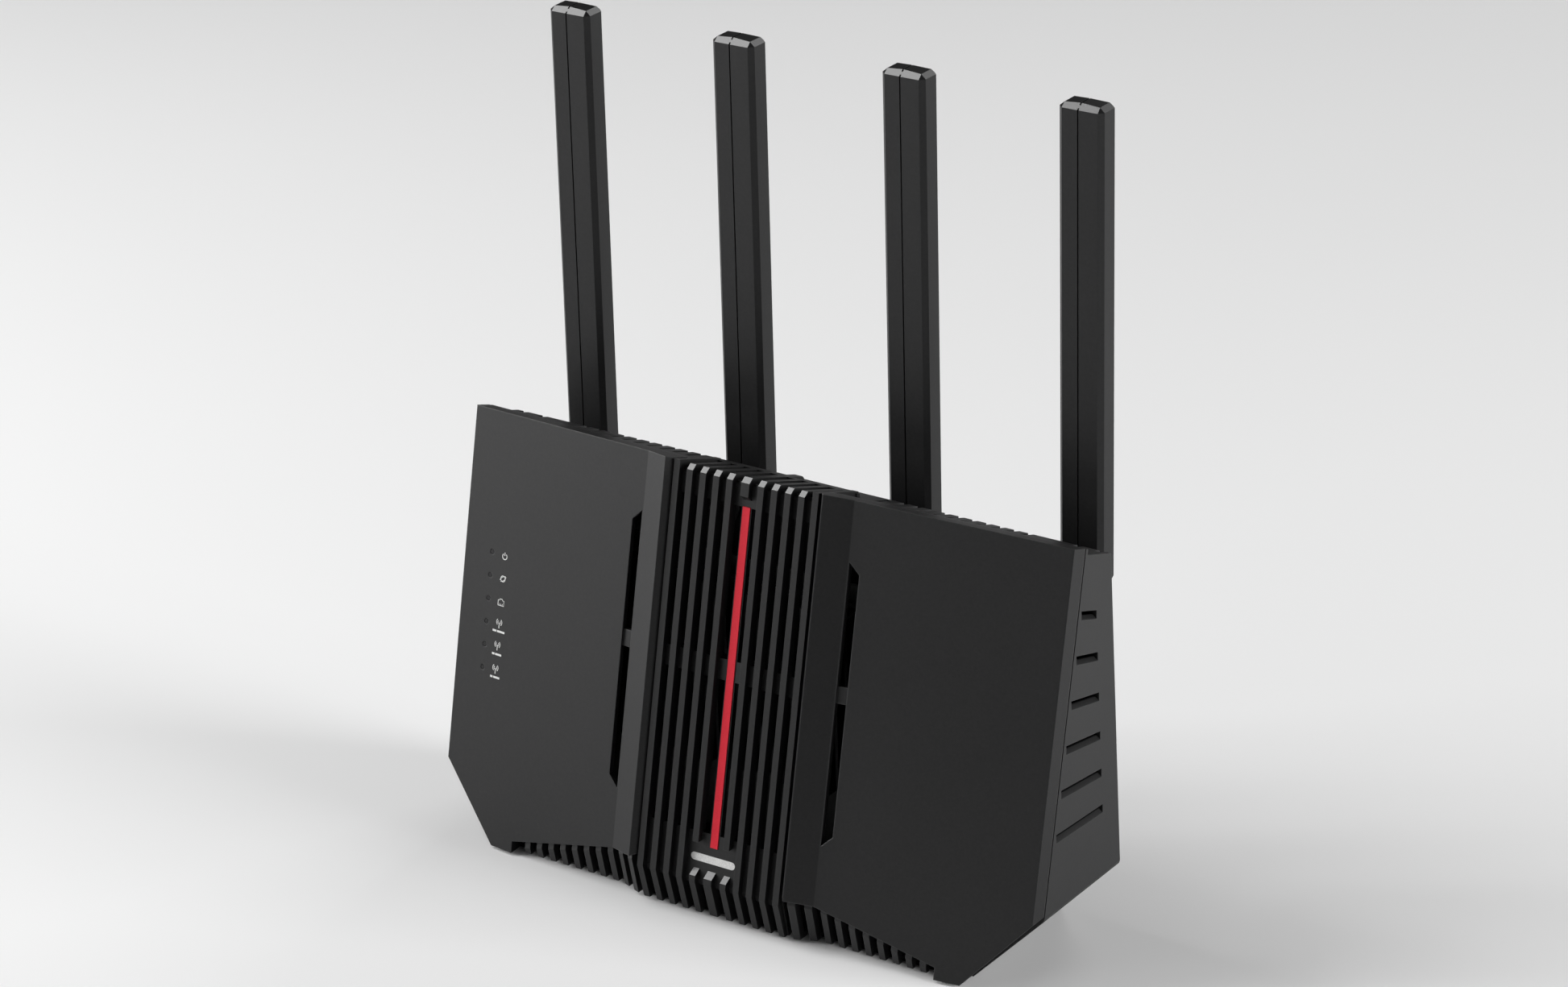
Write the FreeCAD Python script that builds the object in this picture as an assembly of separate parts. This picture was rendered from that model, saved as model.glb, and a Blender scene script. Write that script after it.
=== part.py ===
import FreeCAD, Part
import math
import os

# An upright wireless router: a leaning front shell in two swept panels with a ribbed centre grille,
# a hollow rear housing that carries the board and the ports, and four antennas on two-axis hinges.
#
# Everything is drawn in a body datum and moved to the part's own frame when it is saved.
# Body datum, in millimetres: x to the right, y to the back, z up, z = 0 at the bottom of the shell.
# A "setback" is how far a face lies behind the line y = LEAN * z, so it is the same at every height.

V = FreeCAD.Vector

# Overall shape
HALF_WIDTH = 134.0
LEAN = 0.218                # run back for each unit of height of the front panels
SWEEP = 0.116               # run back for each unit of distance from the centre
SKIN = 2.4                  # wall of every moulded shell
SHELL_DEPTH = 7.9           # depth of the front shell's rim
SEAM_GAP = 0.8              # dark joint between the two shells
LIP = 1.4                   # wall of the lip beside the joint
LIP_DROP = 0.15             # how far the lip stays below the front shell's top
LIMIT = 400.0               # size of a cutting solid that is larger than the router

# Top and rear faces
TOP_Y = 42.4
TOP_Z = 170.2
TOP_SLOPE = 0.347           # fall of the top face for each unit of run back
REAR_TOP_DROP = 2.4         # step down from the front shell to the rear housing
REAR_Y = 84.8
REAR_Z = 25.6
REAR_LEAN = 0.0555          # run forward for each unit of height of the rear wall

# Front shell outline, one side, from the centre outwards
RIDGE_X = 35.2
RIDGE_SETBACK = 0.54
RIDGE_FOOT_Z = 18.6
FACET_X = 46.06
FACET_FOOT_Z = 17.3
CHANNEL_X = 33.1            # wall of the channel that holds the centre grille
CHANNEL_SETBACK = 3.4
FOOT_INNER_X = 97.2
FOOT_OUTER_X = 107.8
NOTCH_Z = 4.7
CHAMFER_Z = 28.1
REAR_FOOT_X = 108.6
REAR_CHAMFER_Z = 26.0

# Tall openings beside the centre facets
SLOT_X0 = 46.5
SLOT_X1 = 51.0
SLOT_LOW_Z = 40.5
SLOT_HIGH_Z = 147.4
SLOT_END = 4.25
BRIDGE_LOW_Z = 94.3
BRIDGE_HIGH_Z = 100.7
BRIDGE_RECESS = 1.0

# Ribs: one pitch runs through the grille, the skirt and the top
PITCH = 6.0
FIRST_RIB_X = 7.0
RIB_HALF = 1.32
CENTRE_HALF = 1.8
RIB_SETBACK = 2.5
WEB_SETBACK = 5.2
WEB = 1.5
BEND_Z = 15.2
TIP_Y = 9.65
TIP_Z = 0.2
TOOTH_DEPTH = 3.9
TOOTH_RELIEF = 2.0          # how far the edge between two teeth lies behind their tips
TOOTH_LIP = 0.8             # height of that edge
GROOVE_END_Y = 24.0         # rear end of the grooves in the bottom behind it
RIB_TOP_DROP = 0.9
RIB_TOP_DEPTH = 3.5
OUTER_RIB_DROP = 0.2        # the outermost ribs reach the front shell's top, with no chamfer
RIB_CHAMFER = 2.35
RIB_END_Y = 66.0
WEB_TOP_Z = 167.0
VENT_LOW_Z = 33.3
VENT_HIGH_Z = 158.0
TIE_LOW_Z = 92.3
TIE_HIGH_Z = 100.2
INNER_RIB_LOW_Z = 30.3
LOWER_RIB_TOP_Z = 17.3
LOWER_RIB_RISE = 1.85       # rise of a lower rib's end towards the web
CENTRE_RIB_LOW_Z = 163.0
CENTRE_RIB_FALL = 2.2       # fall of the centre rib's underside towards the web
CENTRE_BAR_END_Y = 75.3

# Accent strip
STRIP_HALF = 1.7
STRIP_LOW_Z = 28.3
STRIP_HIGH_Z = 158.2
STRIP_PROUD = 0.3
STRIP_DEPTH = 1.0

# Skirt under the panels
SKIRT_SETBACK = 2.8
SKIRT_LEAN = -0.22
SKIRT_Y = 14.5
SKIRT_DEPTH = 3.2
SKIRT_CENTRE_Y = 9.6
SKIRT_END_X = 96.9

# Side louvres
LOUVRES = 6
LOUVRE_TOP_Z = 140.7
LOUVRE_PITCH = 16.56
LOUVRE_ANGLE = 19.2
LOUVRE_ANGLE_STEP = 3.2
LOUVRE_HEIGHT = 3.55
LOUVRE_DEPTH = 1.6
LOUVRE_SLIT = 2.1
LOUVRE_FRONT = 2.4
LOUVRE_REAR = 11.1

# Vents in the top and the rear wall
TOP_SLOT_HALF = 1.2
TOP_SLOT_FRONT_Y = 66.5
TOP_SLOT_REAR_Y = 75.5      # rear end of the innermost vent, which stays inside the edge
EDGE_NOTCH_X = (121.0, 130.3)
EDGE_NOTCH_FRONT_Y = 74.0
REAR_SLOT_HALF = 1.4
REAR_SLOT_LOW_Z = 62.0
REAR_SLOT_HIGH_Z = 116.0

# Antennas and their hinges
ANTENNA_PITCH = 74.87
ANTENNA_WIDTH = 18.6
ANTENNA_DEPTH = 10.8
ANTENNA_EDGE = 1.9
ANTENNA_FRONT_Y = 91.8
ANTENNA_TOP_Z = 318.75
ANTENNA_CROWN = 1.7            # height of the sloping border of the top
ANTENNA_CROWN_INSET = 2.0
ANTENNA_RIDGE = 0.4            # rise of the top towards the seam
ANTENNA_WALL = 1.5
SEAM_X = -0.7                  # the seam is a little left of the middle
SEAM_GROOVE = 0.6
SEAM_GROOVE_DEPTH = 0.7
PIN_Z = 139.0
PIN_RADIUS = 1.5
PIN_HALF = 6.5
TONGUE_HALF = 3.0
TONGUE_RADIUS = 4.8
TONGUE_GAP = 0.15
FLOOR_Z = 146.0
BARREL_RADIUS = 6.5
NECK_RADIUS = 4.95
BORE_RADIUS = 5.0
BOSS_RADIUS = 9.5
BOSS_FRONT_Y = 74.7
BOSS_REAR_Y = 80.5
CLIP_Y = 73.6
CLIP_THICKNESS = 0.8
CABLE_BORE = 1.6

# Ports, all on one recessed strip of the rear wall
PORT_Y = 82.0               # floor of the recess
PORT_WALL_Y = 79.6          # inner face of the wall behind it
PORT_Z = 22.0
PORT_STRIP_X = (-97.0, 103.0)
PORT_STRIP_Z = (9.0, 36.0)
JACK_PROUD = 0.3
JACK_WIDTH = 16.0
JACK_HEIGHT = 14.0
LAN_X = (34.0, 17.4, 0.8, -15.8)
WAN_X = -36.0
USB_X = 58.0
DC_X = -84.0
POWER_X = -62.0
RESET_X = 78.0
WPS_X = 92.0
PORT_CLEARANCE = 0.2

# Board
BOARD_Y = 60.0
BOARD = 1.6
BOARD_HALF_X = 100.0
BOARD_LOW_Z = 8.0
BOARD_HIGH_Z = 126.0
LEAD_REACH = 84.0           # furthest out that an antenna lead meets the board
BOARD_SCREWS = ((-94.0, 50.0), (94.0, 50.0), (-94.0, 118.0), (94.0, 118.0))

# Screws that join the shells: x, z and the height of the joint along y
SHELL_SCREWS = ((126.0, 149.0, 58.0), (116.0, 37.0, 40.0))
POST_RADIUS = 4.2
SCREW_RADIUS = 1.5
SCREW_HEAD = 2.8

# Indicator lights
LED_X = -120.0
LED_TOP_Z = 113.0
LED_PITCH = 9.06
LEDS = 6
LED_RADIUS = 0.85
LED_GAP = 0.18
PIPE_BAR_Y = 46.5

# Feet
FOOT_PROUD = 1.2
FOOT_RADIUS = 6.0
FOOT_INSET = 0.8
FEET = ((-92.0, 27.0), (92.0, 27.0), (-92.0, 78.0), (92.0, 78.0))

# The part's origin is under the middle of its box, on the surface that the feet stand on.
FRONT_Y = LEAN * RIDGE_FOOT_Z + RIDGE_SETBACK
BACK_Y = ANTENNA_FRONT_Y + ANTENNA_DEPTH
ORIGIN = V(0.0, (FRONT_Y + BACK_Y) / 2.0, -FOOT_PROUD)
PIN_Y = ANTENNA_FRONT_Y + ANTENNA_DEPTH / 2.0


# ---------------------------------------------------------------- simple solids

def swept_face(corners, along):
    """A solid from a closed outline and the vector that it is drawn along."""
    outline = Part.makePolygon(corners + [corners[0]])
    return Part.Face(outline).extrude(along)


def prism_xz(points, y0, y1):
    """An outline of (x, z) points, drawn from y0 to y1."""
    return swept_face([V(x, y0, z) for x, z in points], V(0, y1 - y0, 0))


def prism_yz(points, x0, x1):
    """An outline of (y, z) points, drawn from x0 to x1."""
    return swept_face([V(x0, y, z) for y, z in points], V(x1 - x0, 0, 0))


def prism_xy(points, z0, z1):
    """An outline of (x, y) points, drawn from z0 to z1."""
    return swept_face([V(x, y, z0) for x, y in points], V(0, 0, z1 - z0))


def leaning(points, z0, z1, lean=LEAN):
    """An outline of (x, setback) points, drawn upwards along the lean."""
    corners = [V(x, setback + lean * z0, z0) for x, setback in points]
    return swept_face(corners, V(0, lean * (z1 - z0), z1 - z0))


def box(x0, x1, y0, y1, z0, z1):
    """A box between two corners."""
    return Part.makeBox(x1 - x0, y1 - y0, z1 - z0, V(x0, y0, z0))


def rod_x(y, z, radius, x0, x1):
    """A cylinder along x."""
    return Part.makeCylinder(radius, x1 - x0, V(x0, y, z), V(1, 0, 0))


def rod_y(x, z, radius, y0, y1):
    """A cylinder along y."""
    return Part.makeCylinder(radius, y1 - y0, V(x, y0, z), V(0, 1, 0))


def rod_z(x, y, radius, z0, z1):
    """A cylinder along z."""
    return Part.makeCylinder(radius, z1 - z0, V(x, y, z0), V(0, 0, 1))


def mirrored(shape):
    """The same shape on the other side of the centre."""
    return shape.mirror(V(0, 0, 0), V(1, 0, 0))


def pair(shape):
    """The shape and its mirror image."""
    return [shape, mirrored(shape)]


def joined(shapes):
    """One solid from several that touch or overlap."""
    return shapes[0].multiFuse(shapes[1:]).removeSplitter()


def tube(points, radius, bend):
    """A round cable along straight runs that are joined by arcs of one radius."""
    edges = []
    start = points[0]
    for before, corner, after in zip(points, points[1:], points[2:]):
        into = (corner - before).normalize()
        out = (after - corner).normalize()
        half_turn = into.getAngle(out) / 2.0
        reach = bend * math.tan(half_turn)
        arc_start = corner - into * reach
        arc_end = corner + out * reach
        inward = (out - into).normalize()
        middle = corner + inward * (bend / math.cos(half_turn) - bend)
        edges.append(Part.LineSegment(start, arc_start).toShape())
        edges.append(Part.Arc(arc_start, middle, arc_end).toShape())
        start = arc_end
    edges.append(Part.LineSegment(start, points[-1]).toShape())
    first = (points[1] - points[0]).normalize()
    section = Part.Wire([Part.Circle(points[0], first, radius).toShape()])
    return Part.Wire(edges).makePipeShell([section], True, True)


# ---------------------------------------------------------------- shared surfaces

def top_height(y, drop=0.0):
    """Height of the sloping top face, less a drop, at a distance back."""
    return TOP_Z - TOP_SLOPE * (y - TOP_Y) - drop


def rear_wall_y(z):
    """Distance back of the rear wall's outer face at a height."""
    return REAR_Y - REAR_LEAN * (z - REAR_Z)


def under_top(drop):
    """Everything below the top face, less a drop."""
    near = -LIMIT / 4
    far = LIMIT / 2
    points = [(near, near), (far, near), (far, top_height(far, drop)), (near, top_height(near, drop))]
    return prism_yz(points, -LIMIT / 2, LIMIT / 2)


def panel_edge_z(x):
    """Height of the panel's lower edge between the ridge and the foot."""
    if x < FACET_X:
        return RIDGE_FOOT_Z + (FACET_FOOT_Z - RIDGE_FOOT_Z) * (x - RIDGE_X) / (FACET_X - RIDGE_X)
    return FACET_FOOT_Z + (NOTCH_Z - FACET_FOOT_Z) * (x - FACET_X) / (FOOT_INNER_X - FACET_X)


def panel_y(x, z):
    """Distance back of the panel's face, outside the facets."""
    return LEAN * z + SWEEP * abs(x)


def rib_centres(first, last):
    """Ribs of the common pitch on the right side, between two distances from the centre."""
    count = int((last - first) / PITCH + 0.5) + 1
    return [first + PITCH * i for i in range(count)]


# ---------------------------------------------------------------- front shell

def front_half_body():
    """The right half of the front shell as a full block, before it is hollowed."""
    back = SWEEP * HALF_WIDTH + SHELL_DEPTH
    plan = [(CHANNEL_X, CHANNEL_SETBACK), (RIDGE_X, RIDGE_SETBACK), (FACET_X, SWEEP * FACET_X)]
    plan += [(HALF_WIDTH, SWEEP * HALF_WIDTH), (HALF_WIDTH, back)]
    plan += [(CHANNEL_X, SWEEP * CHANNEL_X + SHELL_DEPTH)]
    outline = [(CHANNEL_X, panel_edge_z(CHANNEL_X)), (FACET_X, FACET_FOOT_Z), (FOOT_INNER_X, NOTCH_Z)]
    outline += [(FOOT_INNER_X, 0), (FOOT_OUTER_X, 0), (HALF_WIDTH, CHAMFER_Z)]
    outline += [(HALF_WIDTH, LIMIT), (CHANNEL_X, LIMIT)]
    body = leaning(plan, -10, 190).common(prism_xz(outline, -50, 150))
    return body.common(under_top(0))


def front_half_hollow():
    """The space inside the right half of the front shell."""
    wall_x = CHANNEL_X + 2.0
    side_x = HALF_WIDTH - SKIN
    plan = [(wall_x, 60), (wall_x, RIDGE_SETBACK + SKIN + 0.1), (FACET_X + 0.5, SWEEP * FACET_X + SKIN)]
    plan += [(side_x, SWEEP * side_x + SKIN), (side_x, 60)]
    outline = [(wall_x, -10), (FOOT_INNER_X, -10), (FOOT_INNER_X, NOTCH_Z + SKIN)]
    outline += [(FOOT_INNER_X + SKIN, NOTCH_Z + SKIN), (FOOT_INNER_X + SKIN, SKIN)]
    outline += [(FOOT_OUTER_X - 1.1, SKIN), (side_x, CHAMFER_Z + 1.0), (side_x, LIMIT), (wall_x, LIMIT)]
    space = leaning(plan, -10, 190).common(prism_xz(outline, -50, 150))
    return space.common(under_top(SKIN))


def front_slot():
    """The tall opening beside the right facet, with the recess of its bridge."""
    outline = [(SLOT_X0, SLOT_LOW_Z), (SLOT_X1, SLOT_LOW_Z + SLOT_END)]
    outline += [(SLOT_X1, SLOT_HIGH_Z - SLOT_END), (SLOT_X0, SLOT_HIGH_Z)]
    opening = prism_xz(outline, -20, 60)
    bridge = box(SLOT_X0 - 1, SLOT_X1 + 1, -20, 80, BRIDGE_LOW_Z, BRIDGE_HIGH_Z)
    face = SWEEP * SLOT_X0 + BRIDGE_RECESS
    in_front = leaning([(SLOT_X0, -30), (SLOT_X1, -30), (SLOT_X1, face + 0.5), (SLOT_X0, face)], 30, 160)
    return joined([opening.cut(bridge), opening.common(in_front)])


def front_posts():
    """Screw posts behind the right panel and the holes in them."""
    posts = []
    holes = []
    for x, z, joint_y in SHELL_SCREWS:
        posts.append(rod_y(x, z, POST_RADIUS, panel_y(x, z) + 1.8, joint_y))
        holes.append(rod_y(x, z, SCREW_RADIUS + 0.03, joint_y - 10, joint_y + 1))
    return posts, holes


def front_crossbars():
    """Bars behind the grille that hold the two halves of the front shell together."""
    bars = []
    for low, high in ((19.5, 31.0), (TIE_LOW_Z, TIE_HIGH_Z), (159.5, 163.5)):
        setback = WEB_SETBACK + WEB + 0.3
        reach = CHANNEL_X + 0.5
        plan = [(-reach, setback), (reach, setback), (reach, setback + 2.5), (-reach, setback + 2.5)]
        bars.append(leaning(plan, low, high))
    return bars


def front_shell():
    """The whole front cover, with its openings, light holes and screw posts."""
    posts, holes = front_posts()
    hollow = front_half_hollow()
    half = front_half_body().cut(hollow)
    half = joined([half] + posts).cut(Part.makeCompound(holes))
    half = half.cut(front_slot())
    shell = joined(pair(half) + front_crossbars())
    lights = [rod_y(LED_X, LED_TOP_Z - LED_PITCH * i, LED_RADIUS + LED_GAP, 10, 45) for i in range(LEDS)]
    return shell.cut(Part.makeCompound(lights))


# ---------------------------------------------------------------- centre grille

def meeting_y(setback, drop):
    """Distance back where a leaning face meets the top face, less a drop."""
    return (top_height(0, drop) * LEAN + setback) / (1 + TOP_SLOPE * LEAN)


def grille_profile(front_low, back_low, drop=RIB_TOP_DROP, chamfer=RIB_CHAMFER):
    """Side outline of a rib that runs from its lower points up and over the top."""
    depth = RIB_TOP_DROP + RIB_TOP_DEPTH
    face_y = meeting_y(RIB_SETBACK, drop + chamfer)
    inner_y = meeting_y(WEB_SETBACK + WEB, depth)
    over = [(face_y, top_height(face_y, drop + chamfer))]
    if chamfer > 0:
        over.append((face_y + chamfer, top_height(face_y + chamfer, drop)))
    over += [(RIB_END_Y, top_height(RIB_END_Y, drop)), (RIB_END_Y, top_height(RIB_END_Y, depth))]
    over.append((inner_y, top_height(inner_y, depth)))
    return front_low + over + back_low


def on_lean(setback, z):
    """A point of a side outline at a setback and a height."""
    return (LEAN * z + setback, z)


def long_rib(centre, drop, chamfer):
    """A rib that runs the whole height and ends in a bent tooth."""
    front = [(TIP_Y, TIP_Z), on_lean(RIB_SETBACK, BEND_Z)]
    back = [on_lean(WEB_SETBACK + WEB, BEND_Z - 2), (TIP_Y + TOOTH_DEPTH, TIP_Z)]
    outline = grille_profile(front, back, drop, chamfer)
    return prism_yz(outline, centre - RIB_HALF, centre + RIB_HALF)


def upper_rib(centre, half, low_z, fall=0.0):
    """A rib that starts above the lower plate, with an underside that may fall towards the web."""
    front = [on_lean(RIB_SETBACK, low_z)]
    back = [on_lean(WEB_SETBACK + WEB, low_z - fall), on_lean(WEB_SETBACK, low_z - fall)]
    return prism_yz(grille_profile(front, back), centre - half, centre + half)


def lower_rib(centre, half):
    """A short bent tooth below the plate, with a sloping top facet."""
    points = [(TIP_Y, TIP_Z), on_lean(RIB_SETBACK, BEND_Z), on_lean(RIB_SETBACK, LOWER_RIB_TOP_Z)]
    points += [on_lean(WEB_SETBACK, LOWER_RIB_TOP_Z + LOWER_RIB_RISE), on_lean(WEB_SETBACK + WEB, BEND_Z - 2)]
    points += [(TIP_Y + TOOTH_DEPTH, TIP_Z)]
    return prism_yz(points, centre - half, centre + half)


def grille_web():
    """The plate behind the ribs, which bends with their teeth."""
    points = [on_lean(WEB_SETBACK, BEND_Z), on_lean(WEB_SETBACK, WEB_TOP_Z - WEB / 2)]
    points += [on_lean(WEB_SETBACK + WEB / 3, WEB_TOP_Z), on_lean(WEB_SETBACK + WEB, WEB_TOP_Z)]
    points += [on_lean(WEB_SETBACK + WEB, BEND_Z - 1), (TIP_Y + TOOTH_RELIEF + WEB, TIP_Z)]
    points += [(TIP_Y + TOOTH_RELIEF, TIP_Z)]
    reach = CHANNEL_X - 0.2
    return prism_yz(points, -reach, reach)


def grille_gaps():
    """The spaces between ribs on the right side: centre and half width of each."""
    inner = RIB_HALF + 0.02
    half = PITCH / 2 - inner
    gaps = [(FIRST_RIB_X + PITCH * (i + 0.5), half) for i in range(4)]
    strip_side = STRIP_HALF + 0.5
    rib_side = FIRST_RIB_X - RIB_HALF
    gaps.append(((strip_side + rib_side) / 2, (rib_side - strip_side) / 2))
    return gaps


def tooth_gaps():
    """The spaces between the grille's teeth on the right side: both edges of each."""
    half = PITCH / 2 - RIB_HALF
    centres = rib_centres(FIRST_RIB_X + PITCH / 2, FIRST_RIB_X + PITCH * 3.5)
    return [(CENTRE_HALF, FIRST_RIB_X - RIB_HALF)] + [(x - half, x + half) for x in centres]


def grille_openings():
    """The vents through the web, in two tiers and between the teeth."""
    cuts = []
    for centre, half in grille_gaps():
        plan = [(centre - half, 2), (centre + half, 2), (centre + half, 12), (centre - half, 12)]
        for low, high in ((VENT_LOW_Z, TIE_LOW_Z), (TIE_HIGH_Z, VENT_HIGH_Z)):
            cuts += pair(leaning(plan, low, high))
    for low_x, high_x in tooth_gaps():
        cuts += pair(box(low_x, high_x, 5, 20, TIP_Z + TOOTH_LIP, BEND_Z - 2.5))
    return cuts


def grille_frame():
    """The edges of the grille's top: a bar across the ribs' rear ends and one along each side."""
    depth = RIB_TOP_DROP + RIB_TOP_DEPTH
    bar = [(RIB_END_Y - 2, top_height(RIB_END_Y - 2, RIB_TOP_DROP))]
    bar += [(RIB_END_Y, top_height(RIB_END_Y, RIB_TOP_DROP)), (RIB_END_Y, top_height(RIB_END_Y, depth))]
    bar += [(RIB_END_Y - 2, top_height(RIB_END_Y - 2, depth))]
    reach = CHANNEL_X - 0.2
    return prism_yz(bar, -reach, reach)


def centre_grille():
    """The ribbed insert between the two facets."""
    ribs = []
    for centre in rib_centres(FIRST_RIB_X + PITCH, FIRST_RIB_X + PITCH * 3):
        ribs += pair(long_rib(centre, RIB_TOP_DROP, RIB_CHAMFER))
    ribs += pair(long_rib(FIRST_RIB_X + PITCH * 4, OUTER_RIB_DROP, 0))
    ribs += pair(upper_rib(FIRST_RIB_X, RIB_HALF, INNER_RIB_LOW_Z))
    ribs.append(upper_rib(0, CENTRE_HALF, CENTRE_RIB_LOW_Z, CENTRE_RIB_FALL))
    ribs += pair(lower_rib(FIRST_RIB_X, RIB_HALF))
    ribs.append(lower_rib(0, CENTRE_HALF))
    web = grille_web().cut(Part.makeCompound(grille_openings()))
    reach = STRIP_HALF + 0.1
    low = STRIP_LOW_Z - 0.1
    high = STRIP_HIGH_Z + 0.1
    plan = [(-reach, 0), (reach, 0), (reach, WEB_SETBACK + STRIP_DEPTH - STRIP_PROUD)]
    plan += [(-reach, WEB_SETBACK + STRIP_DEPTH - STRIP_PROUD)]
    groove = leaning(plan, low, high)
    return joined([web, grille_frame()] + ribs).cut(groove)


def accent_strip():
    """The coloured strip down the middle of the grille."""
    front = WEB_SETBACK - STRIP_PROUD
    back = front + STRIP_DEPTH
    plan = [(-STRIP_HALF, front), (STRIP_HALF, front), (STRIP_HALF, back), (-STRIP_HALF, back)]
    return leaning(plan, STRIP_LOW_Z, STRIP_HIGH_Z)


# ---------------------------------------------------------------- rear housing

def rear_outline(inset):
    """Front view of the rear housing, less a wall."""
    side = HALF_WIDTH - inset
    foot = REAR_FOOT_X - inset * 0.45
    low = REAR_CHAMFER_Z + inset * 0.5
    right = [(foot, inset), (side - 0.45, low - 0.46), (side, low + 0.9), (side, LIMIT)]
    left = [(-x, z) for x, z in reversed(right)]
    return right + left


def rear_block(inset, gap):
    """The rear housing as a full block, less a wall, from the seam to the rear wall."""
    rear = [(-50, inset), (rear_wall_y(0) - inset, inset), (rear_wall_y(200) - inset, 200), (-50, 200)]
    seam = SHELL_DEPTH + gap
    plan = [(-150, SWEEP * 150 + seam), (0, seam), (150, SWEEP * 150 + seam), (150, 150), (-150, 150)]
    block = prism_xz(rear_outline(inset), -50, 150)
    block = block.common(prism_yz(rear, -150, 150))
    block = block.common(leaning(plan, -10, 220))
    return block.common(under_top(REAR_TOP_DROP + inset))


def rear_lip():
    """The thin lip that follows the seam up to the level of the front shell's top."""
    lip = prism_xz(rear_outline(0), -50, 150).cut(prism_xz(rear_outline(LIP), -50, 150))
    near = SHELL_DEPTH + SEAM_GAP
    far = near + LIP
    plan = [(-150, SWEEP * 150 + near), (0, near), (150, SWEEP * 150 + near)]
    plan += [(150, SWEEP * 150 + far), (0, far), (-150, SWEEP * 150 + far)]
    band = leaning(plan, -10, 220).common(under_top(LIP_DROP)).cut(under_top(REAR_TOP_DROP + 1))
    side = box(CHANNEL_X + 1, HALF_WIDTH, -50, 150, 100, 200)
    rim = band.common(Part.makeCompound(pair(side)))
    return joined([lip.common(band), rim.common(prism_xz(rear_outline(0), -50, 150))])


def skirt_space(shift):
    """Everything behind the skirt's bent front face, moved back by a shift."""
    plan = [(CHANNEL_X, RIDGE_SETBACK + SKIRT_SETBACK - 0.6), (RIDGE_X, RIDGE_SETBACK + SKIRT_SETBACK)]
    plan += [(FACET_X, SWEEP * FACET_X + SKIRT_SETBACK), (HALF_WIDTH, SWEEP * HALF_WIDTH + SKIRT_SETBACK)]
    upper = [(x, y + shift) for x, y in plan] + [(HALF_WIDTH, 150), (CHANNEL_X, 150)]
    lower = [(CHANNEL_X, SKIRT_CENTRE_Y + shift), (FACET_X, SKIRT_Y + shift), (HALF_WIDTH, SKIRT_Y + shift)]
    lower += [(HALF_WIDTH, 150), (CHANNEL_X, 150)]
    return leaning(upper, 0, 60).common(leaning(lower, 0, 60, SKIRT_LEAN))


def skirt_half():
    """The comb of teeth under the right panel."""
    inner = CHANNEL_X + 0.3
    wall_x = CHANNEL_X + 2.3
    outline = [(inner, 0), (SKIRT_END_X, 0), (SKIRT_END_X, NOTCH_Z + 4), (FACET_X, FACET_FOOT_Z + 4)]
    outline += [(wall_x, RIDGE_FOOT_Z + 4), (wall_x, RIDGE_FOOT_Z - 0.3), (inner, RIDGE_FOOT_Z - 0.3)]
    return skirt_space(0).cut(skirt_space(SKIRT_DEPTH)).common(prism_xz(outline, -50, 150))


def gap_cuts(low_x, high_x, front_y, top):
    """The space between two teeth, over a thin edge and a groove in the bottom behind it."""
    relief = box(low_x, high_x, 0, front_y + TOOTH_RELIEF, -1, top)
    groove = box(low_x, high_x, 0, GROOVE_END_Y, TOOTH_LIP, top)
    return [relief, groove]


def skirt_gaps():
    """The spaces between the teeth of the skirt, on the right side."""
    half = PITCH / 2 - RIB_HALF
    gaps = []
    for centre in rib_centres(FIRST_RIB_X + PITCH * 4.5, FIRST_RIB_X + PITCH * 13.5):
        gaps += gap_cuts(centre - half, centre + half, SKIRT_Y, panel_edge_z(centre) + 0.8)
    last = FIRST_RIB_X + PITCH * 14 + RIB_HALF
    gaps += gap_cuts(last, SKIRT_END_X, SKIRT_Y, NOTCH_Z + 1)
    return gaps


def base_grooves():
    """Grooves in the bottom behind the grille's teeth, on the right side."""
    top = TOOTH_LIP + SKIN
    return [box(x0, x1, TIP_Y, GROOVE_END_Y, TOOTH_LIP, top) for x0, x1 in tooth_gaps()]


def base_plate():
    """The flat bottom behind the skirt."""
    inner = CHANNEL_X + 0.3
    side_front = SKIRT_Y + SKIRT_DEPTH - 0.6
    centre_front = TIP_Y + TOOTH_DEPTH + 0.2
    plan = [(-SKIRT_END_X, 30), (-SKIRT_END_X, side_front), (-FACET_X, side_front), (-inner, centre_front)]
    plan += [(inner, centre_front), (FACET_X, side_front), (SKIRT_END_X, side_front), (SKIRT_END_X, 30)]
    return prism_xy(plan, 0, SKIN)


def louvre(index):
    """One side louvre on the right: a ramp that deepens towards a slit along its top edge."""
    top_z = LOUVRE_TOP_Z - LOUVRE_PITCH * index
    slope = math.tan(math.radians(LOUVRE_ANGLE - LOUVRE_ANGLE_STEP * index))
    front_y = LEAN * top_z + SWEEP * HALF_WIDTH + SHELL_DEPTH + LOUVRE_FRONT
    rear_y = rear_wall_y(top_z) - LOUVRE_REAR
    run = rear_y - front_y
    along = V(0, run, -run * slope)
    ramp = [V(HALF_WIDTH + 1, front_y, top_z), V(HALF_WIDTH - LOUVRE_DEPTH, front_y, top_z)]
    ramp += [V(HALF_WIDTH - LOUVRE_DEPTH, front_y, top_z - LOUVRE_SLIT)]
    ramp += [V(HALF_WIDTH, front_y, top_z - LOUVRE_HEIGHT), V(HALF_WIDTH + 1, front_y, top_z - LOUVRE_HEIGHT)]
    inner_x = HALF_WIDTH - SKIN - 2
    slit = [V(HALF_WIDTH, front_y, top_z), V(inner_x, front_y, top_z)]
    slit += [V(inner_x, front_y, top_z - LOUVRE_SLIT), V(HALF_WIDTH, front_y, top_z - LOUVRE_SLIT)]
    return swept_face(ramp, along).fuse(swept_face(slit, along))


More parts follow.
